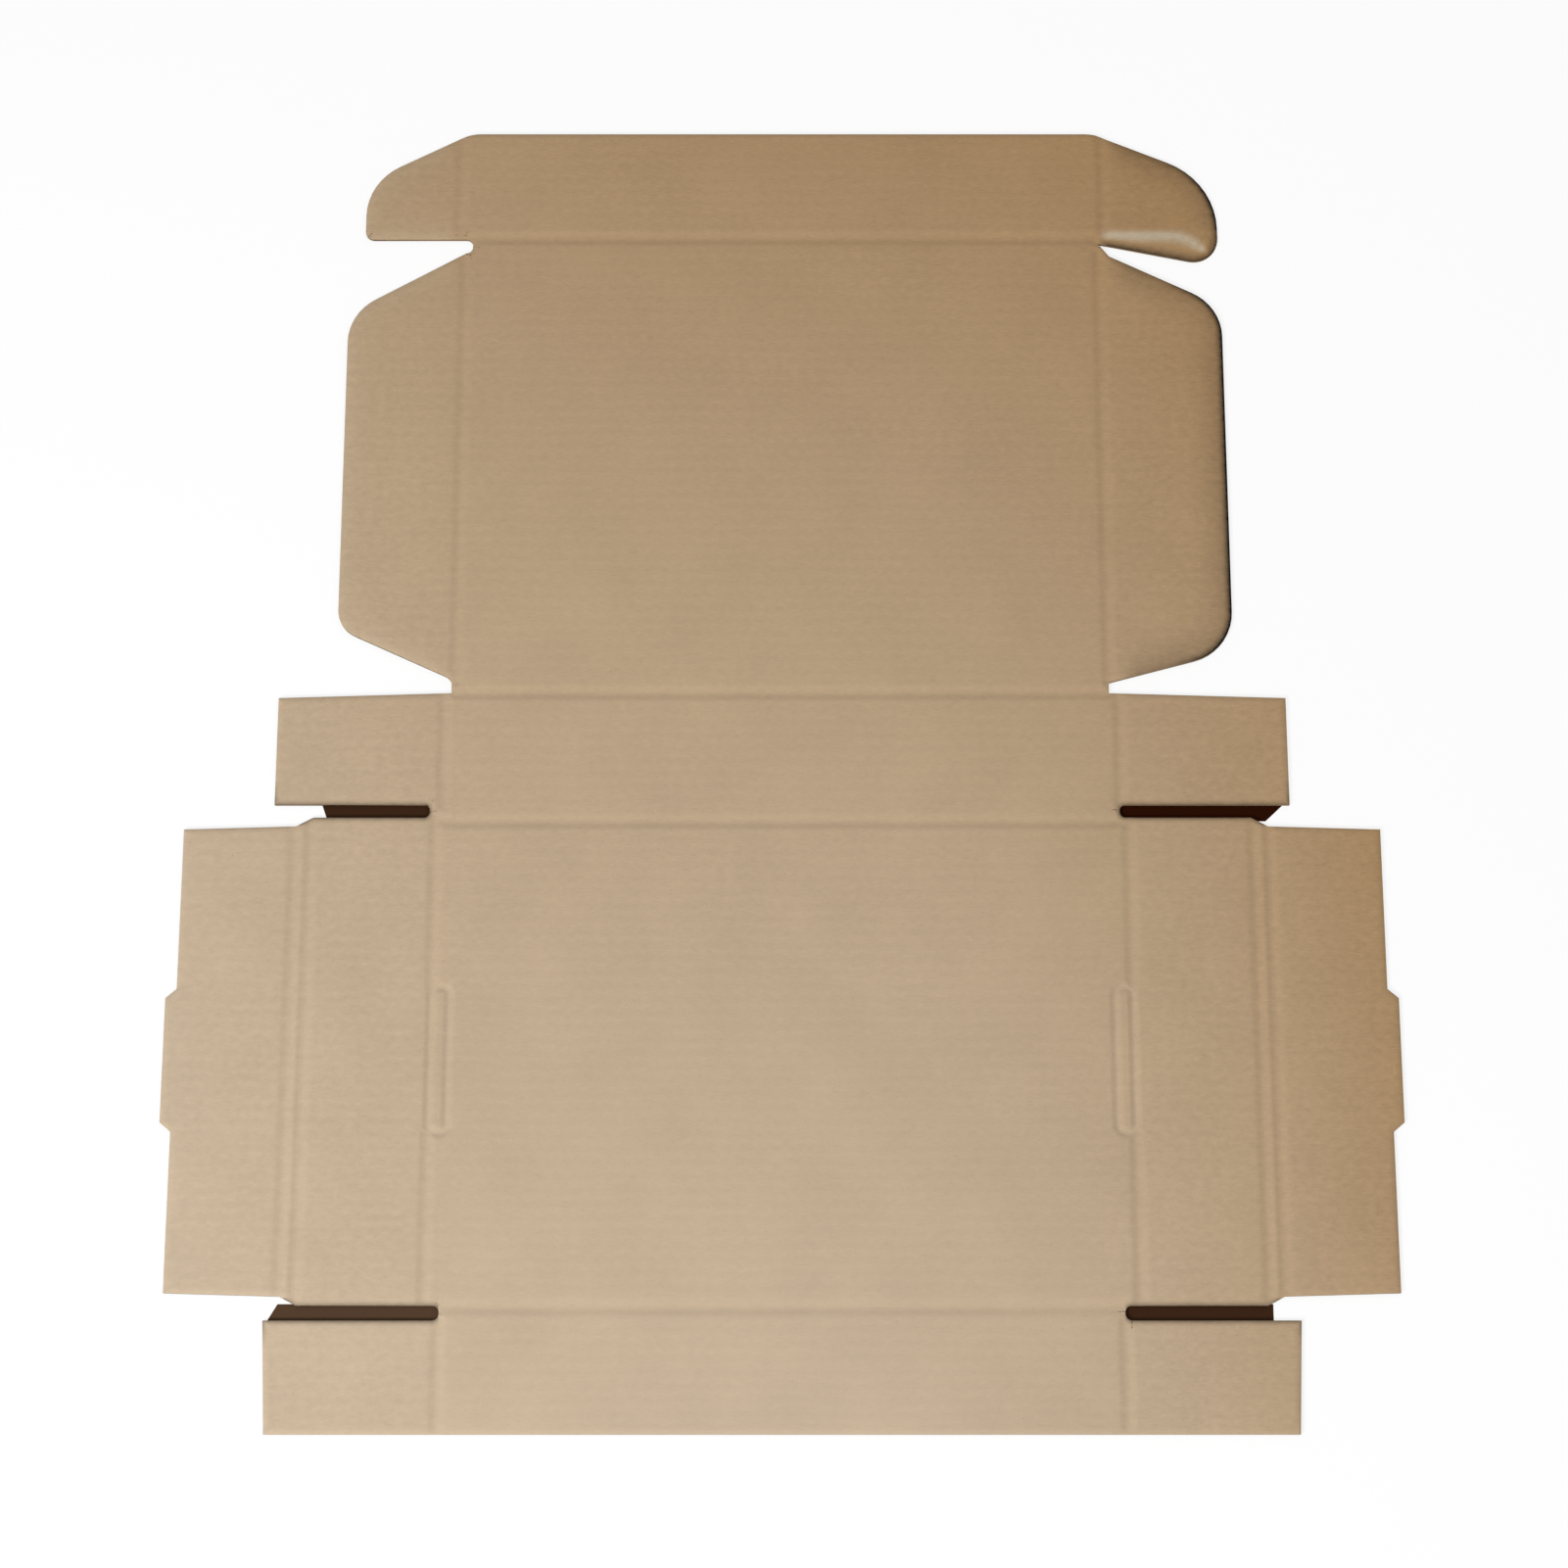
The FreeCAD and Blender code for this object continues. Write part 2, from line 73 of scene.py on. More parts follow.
# %% Helper for shader expressions
class Wave:
    """One output socket of a material's node tree."""

    tree = None

    def __init__(self, socket):
        self.socket = socket

    @classmethod
    def node(cls, kind, settings=None, output=0, **inputs):
        """Adds a node: its settings first, then the values or links of its sockets."""
        made = cls.tree.nodes.new(kind)
        for name, value in (settings or {}).items():
            setattr(made, name, value)
        for name, value in inputs.items():
            key = int(name[1:]) if name[1:].isdigit() else name.replace("_", " ")
            socket = made.inputs[key]
            if isinstance(value, Wave):
                cls.tree.links.new(value.socket, socket)
            else:
                socket.default_value = value
        return cls(made.outputs[output])

    def maths(self, operation, *others, flip=False):
        terms = [self, *others]
        if flip:
            terms.reverse()
        sockets = {f"i{number}": term for number, term in enumerate(terms)}
        return Wave.node("ShaderNodeMath", {"operation": operation}, **sockets)

    def __add__(self, other):
        return self.maths("ADD", other)

    __radd__ = __add__

    def __mul__(self, other):
        return self.maths("MULTIPLY", other)

    __rmul__ = __mul__

    def __sub__(self, other):
        return self.maths("SUBTRACT", other)

    def __rsub__(self, other):
        return self.maths("SUBTRACT", other, flip=True)

    def level(self):
        """The value held between 0 and 1."""
        return Wave.node("ShaderNodeClamp", i0=self)

    def clear(self, low, high):
        """0 below low, 1 above high and a smooth rise between them."""
        return Wave.node(
            "ShaderNodeMapRange", {"interpolation_type": "SMOOTHSTEP"}, i0=self, i1=low, i2=high
        )


def paint(first, second, share):
    """Mixes two colours by a share from 0 to 1."""
    first, second = (c if isinstance(c, Wave) else (*c, 1) for c in (first, second))
    return Wave.node(
        "ShaderNodeMix", {"data_type": "RGBA"}, output=2, i0=share, i6=first, i7=second
    )


def new_material(name):
    """A material with an empty tree that the next expressions write to."""
    material = bpy.data.materials.new(name)
    material.use_nodes = True
    material.node_tree.nodes.clear()
    Wave.tree = material.node_tree
    return material


def finish_material(surface):
    """Links the surface to the output of the tree in hand."""
    out = Wave.tree.nodes.new("ShaderNodeOutputMaterial")
    Wave.tree.links.new(surface.socket, out.inputs["Surface"])


print("shader helper ready")

# %% [markdown]
# The studio is a plain pale floor. Its material mixes a plain white with a glow
# that only the camera sees, so the background is white in the picture and the
# floor still keeps the shadow of the sheet. It lies a hair under the sheet, which
# leaves room for the painted shadow cards of the next step.

# %% Floor
FLOOR_Z = -0.3 * MM
SHADOW_CARD_Z = -0.15 * MM
bpy.ops.object.select_all(action="DESELECT")
bpy.ops.mesh.primitive_plane_add(size=16, location=(0, 0, FLOOR_Z))
floor = bpy.context.object
floor.name = "studio_floor"
white_floor = new_material("studio_floor")
plain = Wave.node("ShaderNodeBsdfDiffuse", Color=(0.86, 0.86, 0.86, 1))
glow = Wave.node("ShaderNodeEmission", Color=(1, 1, 1, 1), Strength=1.06)
seen = Wave.node("ShaderNodeLightPath") * 0.75
finish_material(Wave.node("ShaderNodeMixShader", i0=seen, i1=plain, i2=glow))
floor.data.materials.append(white_floor)
print("floor", [round(n, 1) for n in floor.dimensions], "m")

# %% [markdown]
# The four slits that free the tabs show painted shadow, each a little differently
# dark. A narrow dark card lies on the floor under each slit and stands in for the
# dark table in shade beneath the sheet. It ends where that dark ends: straight, or
# slanted by moving the lower outer corner inwards (a slant above 0) or the upper
# one (below 0). The cards belong to the studio, like the floor.

# %% Dark cards of painted shadow under the slits
# name, inner end, outer end, middle of the slit and slant in mm, colour of the painted shadow
SLIT_SHADOW_CARDS = [
    ("back_left", -150, -216, -28.7, 3, (0.047, 0.021, 0.010)),
    ("back_right", 150, 235.5, -28.9, 9, (0.026, 0.006, 0.002)),
    ("front_left", -150, -233, -261.9, -5, (0.085, 0.048, 0.028)),
    ("front_right", 150, 222, -261.9, 0, (0.047, 0.021, 0.010)),
]
SHADOW_CARD_DEPTH = 8.4
# each card paints the shadow seen through one slit
for place, inner, outer, y, slant, colour in SLIT_SHADOW_CARDS:
    middle = (inner + outer) / 2 * MM
    bpy.ops.mesh.primitive_plane_add(size=1, location=(middle, y * MM, SHADOW_CARD_Z))
    card = bpy.context.object
    card.name = f"painted_shadow_card_{place}"
    card.scale = (abs(outer - inner) * MM, SHADOW_CARD_DEPTH * MM, 1)
    bpy.ops.object.transform_apply(location=True, scale=True)
    for corner in card.data.vertices:
        lower = corner.co.y < y * MM
        if abs(corner.co.x - outer * MM) < MM and lower == (slant > 0):
            corner.co.x -= math.copysign(abs(slant), outer) * MM
    shadow_card_colour = new_material(card.name)
    finish_material(Wave.node("ShaderNodeBsdfDiffuse", Color=(*colour, 1)))
    card.data.materials.append(shadow_card_colour)
print(len(SLIT_SHADOW_CARDS), "cards")

# %% [markdown]
# A soft lamp hangs to the lower left of the picture, as in the photograph, where
# the creases are bright on the side that faces it. A weaker lamp from the other
# side and a grey world fill the shade. The world is white where the camera looks
# past the floor.

# %% Lamps and world
WORLD_LIGHT = 0.40


def soft_lamp(name, place, aim, width, power):
    """A square lamp that looks at a point."""
    bpy.ops.object.light_add(type="AREA", location=place)
    lamp = bpy.context.object
    lamp.name = name
    lamp.data.size = width
    lamp.data.energy = power
    lamp.rotation_euler = (Vector(aim) - Vector(place)).to_track_quat("-Z", "Y").to_euler()
    return lamp


soft_lamp("key_lamp", (-0.95, -1.20, 1.50), (-0.05, -0.15, 0), 0.8, 29.5)
soft_lamp("fill_lamp", (1.3, 1.3, 2.4), (0, 0, 0), 1.6, 11)
world = bpy.data.worlds.new("studio_world")
bpy.context.scene.world = world
world.use_nodes = True
sky = world.node_tree.nodes["Background"]
sky.inputs["Color"].default_value = (1, 1, 1, 1)
Wave.tree = world.node_tree
seen = Wave.node("ShaderNodeLightPath")
strength = seen * (1 - WORLD_LIGHT) + WORLD_LIGHT
world.node_tree.links.new(strength.socket, sky.inputs["Strength"])

# %% [markdown]
# The real sheet has a crisp cut outline, and its upper face rolls down to it,
# because the die's rubber crushes the flutes there. So the piece starts as a copy
# of the measured mesh, whose sides and flute ends are kept as they are. Its flat
# upper faces come off, and one new face closes the hole at the height of the
# cut edge. Inset and raised step by step, it grows the rounded, crushed rim.

# %% Copy the sheet and open its upper face
CUT_EDGE = 1.9 * MM
UPPER_SIDE = 1.65 * MM
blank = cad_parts["box_blank"]
sheet = bpy.data.objects.new("kraft_sheet", blank.data.copy())
bpy.context.scene.collection.objects.link(sheet)
bpy.ops.object.select_all(action="DESELECT")
sheet.select_set(True)
bpy.context.view_layer.objects.active = sheet
sheet.data.materials.clear()


def corners_of(mesh):
    """Places of all corners of a mesh, one row each."""
    places = np.empty(len(mesh.vertices) * 3)
    mesh.vertices.foreach_get("co", places)
    return places.reshape(-1, 3)


def pick_faces(mesh, chosen):
    """Leaves edit mode with only these faces selected, and goes back to it."""
    bpy.ops.mesh.select_mode(type="FACE")
    bpy.ops.mesh.select_all(action="DESELECT")
    bpy.ops.object.mode_set(mode="OBJECT")
    mesh.polygons.foreach_set("select", chosen(mesh))
    bpy.ops.object.mode_set(mode="EDIT")


def upper_faces(mesh):
    """The faces whose corners all lie above the flute ends."""
    heights = corners_of(mesh)[:, 2]
    return np.array([min(heights[list(face.vertices)]) for face in mesh.polygons]) > UPPER_SIDE


bpy.ops.object.mode_set(mode="EDIT")
bpy.ops.mesh.select_all(action="SELECT")
bpy.ops.mesh.remove_doubles(threshold=0.001 * MM)
pick_faces(sheet.data, upper_faces)
bpy.ops.mesh.delete(type="FACE")
bpy.ops.mesh.select_mode(type="EDGE")
bpy.ops.mesh.select_non_manifold(extend=False)
bpy.ops.mesh.edge_face_add()
print("upper face opened and closed again with one face")

# %% Roll the upper face down to the cut edge
# how far each ring lies inside the last one, and above it, in mm
RIM_STEPS = [
    (0.35, 0.30), (0.50, 0.30), (0.60, 0.22), (0.65, 0.16), (0.70, 0.09), (0.60, 0.03), (0.45, 0)
]
pick_faces(sheet.data, upper_faces)
for inward, rise in RIM_STEPS:
    bpy.ops.mesh.inset(thickness=inward * MM, use_boundary=True, use_even_offset=True)
    bpy.ops.transform.translate(value=(0, 0, rise * MM))
    bpy.ops.mesh.remove_doubles(threshold=0.25 * MM)
rim_width, rim_rise = (round(sum(steps), 2) for steps in zip(*RIM_STEPS))
print("rim", rim_width, "mm wide rises", rim_rise, "mm")

# %% [markdown]
# The creases and the knife lines round the lock slots need rows of corners to
# bend. Bisect cuts straight rows across the upper face, close together where a
# crease will lie and wide apart on the flat panels. Hidden faces stay uncut, so
# each band of the sheet gets only the columns of its own creases.

# %% Places of the creases and of the lock slots
# name, the axis it runs along, its place on the other axis and its two ends in mm
CREASES = [
    ("front_wall", "x", -259.25, -155, 155),
    ("back_wall", "x", -33.75, -162, 162),
    ("lid", "x", 28.75, -154.5, 154.5),
    ("closing_flap", "x", 259.75, -154.5, 154.5),
]
for side in (-1, 1):
    CREASES += [
        ("base_front", "y", 162 * side, -258.6, -180.3),
        ("base_back", "y", 162 * side, -112.7, -31.8),
        ("side_wall", "y", 220.4 * side, -258.6, -31.8),
        ("rim", "y", 227.4 * side, -258.6, -31.8),
        ("front_tab", "y", 155 * side, -315.75, -265.2),
        ("back_tab", "y", 159 * side, -25.6, 28.75),
        ("dust_flap", "y", 154.5 * side, 33.95, 252.45),
        ("ear", "y", 157.5 * side, 259.75, 315.75),
    ]
HALF_ROWS = [0.8, 1.6, 2.3, 3, 3.8, 4.8, 6]
CREASE_ROWS = [-step for step in reversed(HALF_ROWS)] + [0] + HALF_ROWS
PANEL_GRID = 11.0
FLAP_GRID = PANEL_GRID / 3
CLOSEST_ROWS = 0.4
SLOT_MIDDLE, SLOT_Y = 157.85, -146.5
SLOT_HALF_WIDTH, SLOT_HALF_LENGTH = 4.15, 33.8
KNIFE_GRID = 0.75
print(len(CREASES), "creases and 2 lock slots")

# %% [markdown]
# A row is one bisect across all faces that show. Rows that would fall almost on
# one another are left out, because they make slivers that shade as dark dashes.

# %% Helper that cuts rows


def cut_rows(axis, places, box=(-400, -400, 400, 400)):
    """Cuts the faces inside a box of x and y square to an axis."""
    across = Vector((0, 0, 0))
    across[axis] = 1
    low, high = np.array(box).reshape(2, 2) * MM

    def kept(mesh):
        middles = np.empty(len(mesh.polygons) * 3)
        mesh.polygons.foreach_get("center", middles)
        flat = middles.reshape(-1, 3)[:, :2]
        return ((flat < low) | (flat > high)).any(axis=1) | ~upper_faces(mesh)

    pick_faces(sheet.data, kept)
    bpy.ops.mesh.hide()
    last = -math.inf
    for place in sorted(places):
        if place - last < CLOSEST_ROWS:
            continue
        bpy.ops.mesh.select_all(action="SELECT")
        bpy.ops.mesh.bisect(plane_co=across * place * MM, plane_no=across)
        last = place
    bpy.ops.mesh.reveal(select=False)


print("rows closer than", CLOSEST_ROWS, "mm are left out")

# %% [markdown]
# First come the rows across the whole sheet, then the columns of each band, from
# one crease to the next. The lid's flaps get a finer grid, because they will curl,
# and the lock slots the finest.

# %% Cut the rows and columns
rows = [place + step for _, axis, place, _, _ in CREASES[:4] for step in CREASE_ROWS]
rows += list(np.arange(-310, 312, PANEL_GRID))
cut_rows(1, rows)
# low and high end of each band on y, and the creases that its columns serve
BANDS = {
    (-400, -262.25): [155],
    (-262.25, -28.95): [162, 220.4, 227.4],
    (-28.95, 31.05): [159],
    (31.05, 255.95): [154.5],
    (255.95, 400): [157.5],
}
for (low, high), middles in BANDS.items():
    columns = [side * (m + step) for side in (-1, 1) for m in middles for step in CREASE_ROWS]
    columns += list(np.arange(-275, 280, PANEL_GRID))
    cut_rows(0, columns, (-400, low, 400, high))
flap_crease = CREASES[3][2]
flap_rows = [y for y in np.arange(42, 316, FLAP_GRID) if abs(y - flap_crease) > 6.5]
for side in (-1, 1):
    low, high = sorted((side * 160, side * 245))
    cut_rows(1, flap_rows, (low, 31, high, 320))
    cut_rows(0, side * np.arange(165 + FLAP_GRID, 245, FLAP_GRID), (low, 31, high, 320))
    x = side * SLOT_MIDDLE
    cut_rows(0, x + np.arange(-7.5, 7.6, KNIFE_GRID), (x - 12, -188, x + 12, -105))
    for end in (-1, 1):
        y = SLOT_Y + end * SLOT_HALF_LENGTH
        cut_rows(1, y + np.arange(-5.25, 5.3, KNIFE_GRID), (x - 7.4, y - 9, x + 7.4, y + 9))
bpy.ops.object.mode_set(mode="OBJECT")
skin_faces = upper_faces(sheet.data)
skin_corners = corners_of(sheet.data)[:, 2] > CUT_EDGE - 0.01 * MM
print("upper face cut to", int(skin_faces.sum()), "faces")

# %% [markdown]
# A crease is a soft valley: the press squeezes the flutes over a strip of 8 to
# 9 mm and the middle sinks by about 0.9 mm. The knife line round a lock slot is a
# little narrower, because the plug is cut but still in its place. Both fade out
# where the sheet is crushed at its cut edge already.

# %% Press the creases and the knife lines
CREASE_DROP = 0.9
CREASE_REACH = 4.6
KNIFE_DROP = 0.9
KNIFE_REACH = 3.2
KNIFE_INSIDE = 0.45
THICKNESS = 3.0


def valley(distance, reach):
    """1 in the middle of a groove and 0 beyond its reach, smooth at both."""
    share = np.clip(np.abs(distance) / reach, 0, 1)
    return (1 + np.cos(math.pi * share)) / 2


def beyond(along, low, high):
    """How far a place lies beyond the ends of a line."""
    return np.maximum(0, np.maximum(low - along, along - high))


def pressed(places):
    """How deep these places lie in a crease and in a knife line, from 0 to 1."""
    x, y = places[:, 0] / MM, places[:, 1] / MM
    crease = np.zeros(len(places))
    for _, axis, place, low, high in CREASES:
        distance, along = (y - place, x) if axis == "x" else (x - place, y)
        reach = np.hypot(distance, beyond(along, low, high) * 1.4)
        crease = np.maximum(crease, valley(reach, CREASE_REACH))
    knife = np.zeros(len(places))
    round_end = SLOT_HALF_WIDTH - KNIFE_INSIDE
    for side in (-1, 1):
        across = np.abs(x - side * SLOT_MIDDLE) - KNIFE_INSIDE
        along = np.abs(y - SLOT_Y) - (SLOT_HALF_LENGTH - round_end)
        outside = np.hypot(np.maximum(across, 0), np.maximum(along, 0))
        inside = np.minimum(np.maximum(across, along), 0)
        knife = np.maximum(knife, valley(outside + inside - round_end, KNIFE_REACH))
    return crease, knife


places = corners_of(sheet.data)
crease, knife = pressed(places)
uncrushed = np.clip((places[:, 2] - CUT_EDGE) / (THICKNESS * MM - CUT_EDGE), 0, 1)
drop = np.maximum(crease * CREASE_DROP, knife * KNIFE_DROP) * uncrushed
places[:, 2] -= drop * MM
sheet.data.vertices.foreach_set("co", places.reshape(-1))
sheet.data.update()
print("deepest crease", round(max(drop), 2), "mm on", len(sheet.data.vertices), "corners")

# %% [markdown]
# The lid's flaps and ears curl down a little towards their outline, so the lamp
# brightens their left edges and leaves the right ones dark. The right ear is
# crushed most: its lower edge is a rolled lip. All of it depends on how far a
# corner lies from the cut edge, seen from above.

# %% Distance from the cut edge


def edge_distance(places):
    """How far each place lies from the cut edge, seen from above, in mm."""
    ends = np.empty(len(sheet.data.edges) * 2, dtype=np.int32)
    sheet.data.edges.foreach_get("vertices", ends)
    ends = places[ends].reshape(-1, 2, 3)
    on_cut = (abs(ends[:, :, 2] - CUT_EDGE) < 0.01 * MM).all(axis=1)
    start, end = ends[on_cut][:, 0, :2], ends[on_cut][:, 1, :2]
    run = end - start
    length = np.maximum((run**2).sum(axis=1), 1e-12)
    nearest = []
    for spot in places[:, :2]:
        share = np.clip(((spot - start) * run).sum(axis=1) / length, 0, 1)
        gap = spot - start - share[:, None] * run
        nearest.append(math.sqrt((gap**2).sum(axis=1).min()))
    return np.array(nearest) / MM


def fade(distance, reach):
    """1 at the cut edge, 0 from the reach on, and steepest at the edge."""
    return np.clip(1 - distance / reach, 0, 1) ** 2


places = corners_of(sheet.data)
x, y = places[:, 0] / MM, places[:, 1] / MM
inward = edge_distance(places)
print("the middle of the sheet is", round(max(inward), 1), "mm from its edge")

# %% Curl the flaps of the lid
# drop at the edge and reach inwards, in mm
FLAP_CURL = (0.55, 12.0)
EAR_CURL = (0.85, 11.0)
EAR_CORNER, EAR_SLOPE = (154.5, 257.5), -0.2
on_flap = np.clip((np.abs(x) - 159) / 9, 0, 1) * (y > 31.5)
below_ear = EAR_CORNER[1] + (x - EAR_CORNER[0]) * EAR_SLOPE - y
right_ear = np.clip((x - EAR_CORNER[0]) / 5, 0, 1) * (below_ear < 1)
curl = on_flap * FLAP_CURL[0] * fade(inward, FLAP_CURL[1]) * uncrushed
places[:, 2] -= curl * MM
crushed = right_ear * EAR_CURL[0] * fade(inward, EAR_CURL[1])
places[:, 2] *= 1 - crushed / THICKNESS
sheet.data.vertices.foreach_set("co", places.reshape(-1))
sheet.data.update()
print(f"flaps curl down by {max(curl):.2f} mm and the right ear by {max(crushed):.2f} mm more")

# %% [markdown]
# An attribute paints light and shade into the paper's colour, above 0 where it is
# paler and below 0 where it is darker. It is strongest on the right flap and on the
# rolled lip of the right ear, where painted shade darkens the edge and a painted
# highlight lies on the lip's ridge. A weaker painted highlight lies along the left
# edges, and weak painted shade lies in the slits. The burnished knife lines are a
# little paler, which the board really has.

# %% Painted light and shade along the edges, and the burnished knife lines
# strength at the edge and reach inwards in mm
FLAP_SHADE = (0.32, 22.0)
SIDE_SHADE = (0.9, 4.6)
LIP_SHADE = (0.9, 6.0)
LEFT_HIGHLIGHT = (0.12, 12.0)
SLIT_SHADE = (0.6, 3.0)
LIP_HIGHLIGHT, LIP_HEIGHT, LIP_WIDTH = 0.5, 261.2, 2.9
KNIFE_RUB = 0.09
lower_lip = right_ear * np.clip((269 - y) / 6, 0, 1)
ridge_y = LIP_HEIGHT - 4.2 * (np.maximum(x - 190, 0) / 12) ** 2
# the lip's ridge carries a painted highlight band
ridge = np.exp(-(((y - ridge_y) / LIP_WIDTH) ** 2)) * lower_lip * np.clip(inward / 4, 0, 1)
outer_side = on_flap * (x > 0) * np.clip((x - 180) / 28, 0.15, 1) * (1 - lower_lip)
# painted highlight on the lip's ridge, and the real burnish of the knife lines
painted_light_and_burnish_by_corner = ridge * LIP_HIGHLIGHT + knife * KNIFE_RUB
# painted shade over the right flap, darkest at its edge
painted_light_and_burnish_by_corner -= on_flap * (x > 0) * (1 - lower_lip) * FLAP_SHADE[0] * fade(inward, FLAP_SHADE[1])
# painted shade in a narrow band along the right edges
painted_light_and_burnish_by_corner -= outer_side * SIDE_SHADE[0] * fade(inward, SIDE_SHADE[1])
# painted shade on the ear's lower lip, darkest at the edge
painted_light_and_burnish_by_corner -= lower_lip * LIP_SHADE[0] * fade(inward, LIP_SHADE[1])
# painted highlight along the left flaps' edges
painted_light_and_burnish_by_corner += on_flap * (x < 0) * LEFT_HIGHLIGHT[0] * fade(inward, LEFT_HIGHLIGHT[1])
slit_lines = [card[3] for card in SLIT_SHADOW_CARDS]
in_slit = (abs(x) > 155) & (np.abs(y[:, None] - slit_lines).min(axis=1) < 6.5)
# painted shade along the edges of the slits
painted_light_and_burnish_by_corner -= in_slit * SLIT_SHADE[0] * fade(inward, SLIT_SHADE[1])
sheet.data.attributes.new("painted_light_and_burnish", "FLOAT", "POINT").data.foreach_set("value", painted_light_and_burnish_by_corner)
print("wear from", round(painted_light_and_burnish_by_corner.min(), 2), "to", round(painted_light_and_burnish_by_corner.max(), 2))

# %% [markdown]
# The upper skin is shaded smooth all over, and only the cut edge round it stays
# sharp. Weighted normals let the wide flat faces decide at each corner, so the
# panels look flat up to their rims.

# %% Shade the sheet
bpy.ops.object.shade_smooth_by_angle(angle=math.radians(40))
ends = np.empty(len(sheet.data.edges) * 2, dtype=np.int32)
sheet.data.edges.foreach_get("vertices", ends)
sharp = np.empty(len(sheet.data.edges), dtype=bool)
sharpness = sheet.data.attributes["sharp_edge"].data
sharpness.foreach_get("value", sharp)
on_skin = skin_corners[ends].reshape(-1, 2).all(axis=1)
on_cut = on_skin & (inward[ends].reshape(-1, 2).max(axis=1) < 0.01)
sharpness.foreach_set("value", (sharp & ~on_skin) | on_cut)
bpy.ops.object.modifier_add(type="WEIGHTED_NORMAL")
even_light = sheet.modifiers[-1]
even_light.weight = 80
even_light.keep_sharp = True
bpy.ops.object.modifier_apply(modifier=even_light.name)
print("whole sheet has", len(sheet.data.vertices), "corners")

# %% [markdown]
# Kraft liner is unbleached paper: an even warm brown with long pale and dark
# fibres, small specks and a soft clouding. Painted light makes it paler and greyer
# at the lower left of the sheet and deeper to its upper right. The flutes below
# telegraph through it as faint ridges across the sheet, one every 6.3 mm. The
# outer panels, which are handled most, are a little more mottled. All of it is
# written on Object coordinates, so it stays on the sheet from any side, and the
# painted light and shade of the edges and the burnish of the knife lines come
# from the attribute.

# %% Kraft liner
FLUTE_PITCH = 6.3 * MM
PAINTED_LIT_KRAFT = (0.566, 0.446, 0.316)
PAINTED_SHADED_KRAFT = (0.409, 0.250, 0.116)
HIGHLIGHT_AND_BURNISH_KRAFT = (0.595, 0.51, 0.38)


def stretched(where, across, along):
    """Object coordinates squeezed along X and Y, so that a pattern runs long."""
    return Wave.node("ShaderNodeMapping", Vector=where, Scale=(across, along, 1))


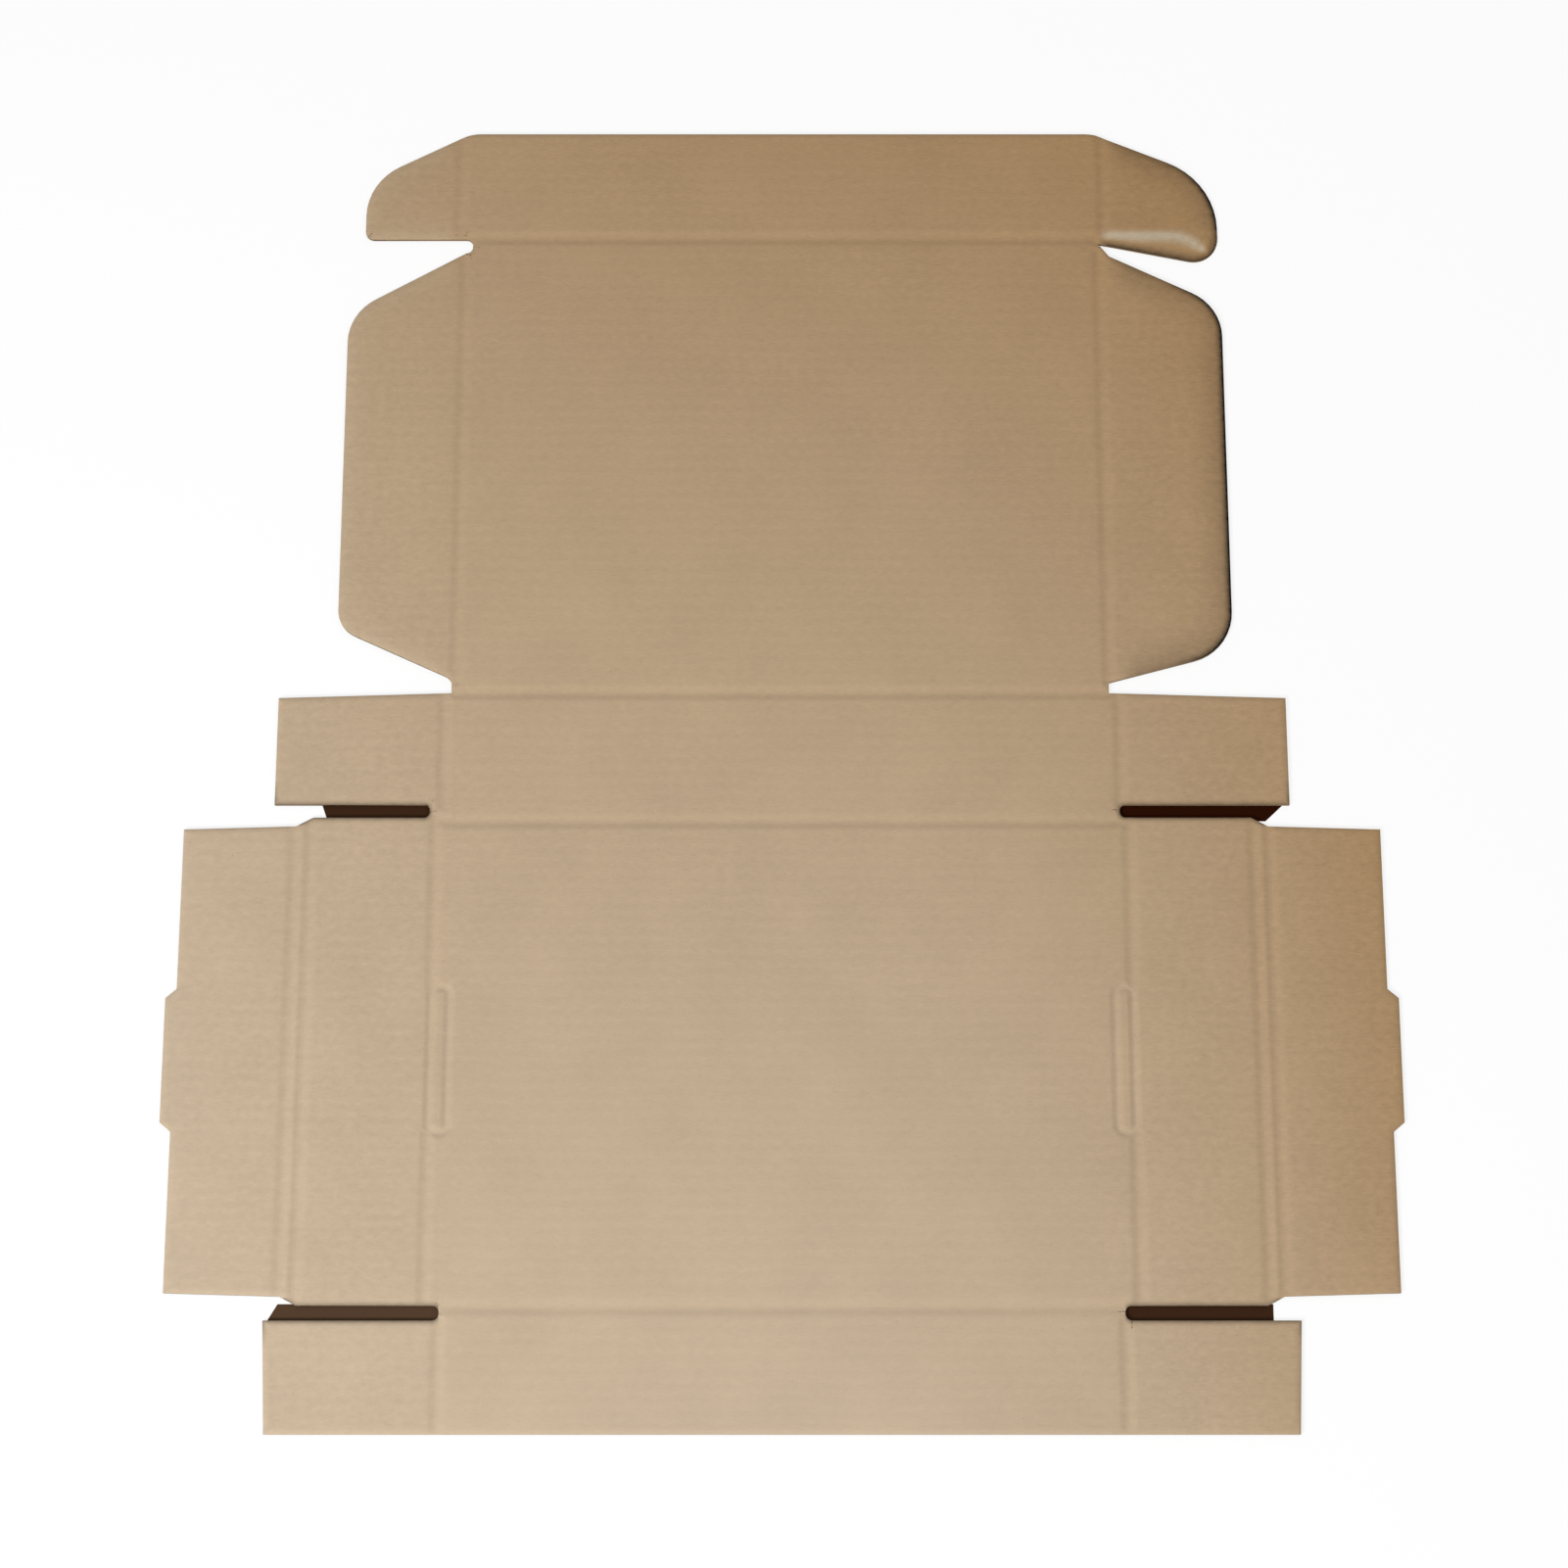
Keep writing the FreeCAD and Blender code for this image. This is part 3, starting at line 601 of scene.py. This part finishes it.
def kraft(name, pale, deep, roughness):
    """Unbleached paper, with painted light that turns it from pale to deep across the sheet."""
    material = new_material(name)
    where = Wave.node("ShaderNodeTexCoord", output="Object")
    x = Wave.node("ShaderNodeSeparateXYZ", i0=where)
    y = Wave.node("ShaderNodeSeparateXYZ", output=1, i0=where)
    painted_light_and_burnish = Wave.node("ShaderNodeAttribute", {"attribute_name": "painted_light_and_burnish"}, output="Fac")
    clouds = Wave.node("ShaderNodeTexNoise", Vector=where, Scale=24.0, Detail=4.0, Roughness=0.6)
    fibres = Wave.node(
        "ShaderNodeTexNoise", Vector=stretched(where, 260, 1100),
        Scale=1.0, Detail=3.0, Roughness=0.65,
    )
    mottle = Wave.node(
        "ShaderNodeTexNoise", Vector=stretched(where, 230, 340),
        Scale=1.0, Detail=2.5, Roughness=0.6,
    )
    specks = Wave.node("ShaderNodeTexNoise", Vector=where, Scale=1500.0, Detail=1.0, Roughness=0.5)
    ridge = (y * (2 * math.pi / FLUTE_PITCH) + clouds * 5.0).maths("SINE") * mottle
    # painted light: a smooth curved surface over x and y, lowest at the lower left of the sheet,
    # where the paper is palest
    painted_light_falloff = x * (x * (x * 15.26 + y * -5.98 + 2.156) + y * 0.593 + 0.342)
    painted_light_falloff = (painted_light_falloff + y * (y * 0.446 + 1.301) + 0.382).level()
    colour = paint(pale, deep, painted_light_falloff)
    # painted highlight on the lip's ridge and the left edges, and the real burnish of the knife
    # lines
    colour = paint(colour, HIGHLIGHT_AND_BURNISH_KRAFT, (painted_light_and_burnish * 1.5).level())
    paper_and_painted_shade = 1.0 + (clouds - 0.5) * 0.16 + (fibres - 0.5) * (painted_light_falloff * 0.22 + 0.12) + ridge * 0.014
    coarse = x.maths("ABSOLUTE").clear(0.12, 0.19) * 0.13 + painted_light_falloff * 0.08 + 0.09
    # paper mottle, and painted shade where the attribute is below 0
    paper_and_painted_shade = paper_and_painted_shade + (mottle - 0.5) * coarse + painted_light_and_burnish.maths("MINIMUM", 0.0)
    paper_and_painted_shade = paper_and_painted_shade - specks.clear(0.68, 0.80) * 0.22
    paper_and_shade_colour = Wave.node("ShaderNodeCombineColor", i0=paper_and_painted_shade, i1=paper_and_painted_shade, i2=paper_and_painted_shade)
    colour = Wave.node(
        "ShaderNodeMix", {"data_type": "RGBA", "blend_type": "MULTIPLY"}, output=2,
        i0=1.0, i6=colour, i7=paper_and_shade_colour,
    )
    height = ridge * 0.05 + fibres * 0.06 + clouds * 0.25
    bump = Wave.node("ShaderNodeBump", Height=height, Distance=1 * MM, Strength=1.0)
    finish_material(Wave.node(
        "ShaderNodeBsdfPrincipled", Base_Color=colour, Roughness=roughness, Normal=bump,
        Specular_IOR_Level=0.2,
    ))
    return material


liner = kraft("kraft_liner", PAINTED_LIT_KRAFT, PAINTED_SHADED_KRAFT, 0.88)
print("liner with", len(liner.node_tree.nodes), "nodes")

# %% [markdown]
# The cut shows the inside of the board: two thin liners with the fluted medium
# between them. The medium is recycled paper and a little darker and rougher.

# %% Cut edge


def cut_board(name):
    """The cut edge: pale liners below and above, darker medium between them."""
    material = new_material(name)
    where = Wave.node("ShaderNodeTexCoord", output="Object")
    z = Wave.node("ShaderNodeSeparateXYZ", output=2, i0=where)
    grain = Wave.node("ShaderNodeTexNoise", Vector=where, Scale=2200.0, Detail=3.0, Roughness=0.7)
    inside = z.clear(0.30 * MM, 0.42 * MM) - z.clear(1.50 * MM, 1.62 * MM)
    colour = paint((0.43, 0.31, 0.19), (0.27, 0.18, 0.105), inside)
    colour = paint(colour, (0.16, 0.10, 0.06), grain.clear(0.45, 0.75) * 0.5)
    bump = Wave.node("ShaderNodeBump", Height=grain, Distance=0.15 * MM, Strength=1.0)
    finish_material(Wave.node(
        "ShaderNodeBsdfPrincipled", Base_Color=colour, Roughness=0.95, Normal=bump,
        Specular_IOR_Level=0.1,
    ))
    return material


edge = cut_board("cut_edge")
sheet.data.materials.append(liner)
sheet.data.materials.append(edge)
middles = np.empty(len(sheet.data.polygons) * 3)
sheet.data.polygons.foreach_get("center", middles)
on_edge = ~skin_faces & (middles.reshape(-1, 3)[:, 2] > 0.01 * MM)
sheet.data.polygons.foreach_set("material_index", on_edge.astype(np.int32))
print("cut edge on", int(on_edge.sum()), "faces")

# %% [markdown]
# The sheet takes the place of the measured node and moves with it.

# %% Hand the sheet over
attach(sheet, "root")
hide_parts("box_blank")
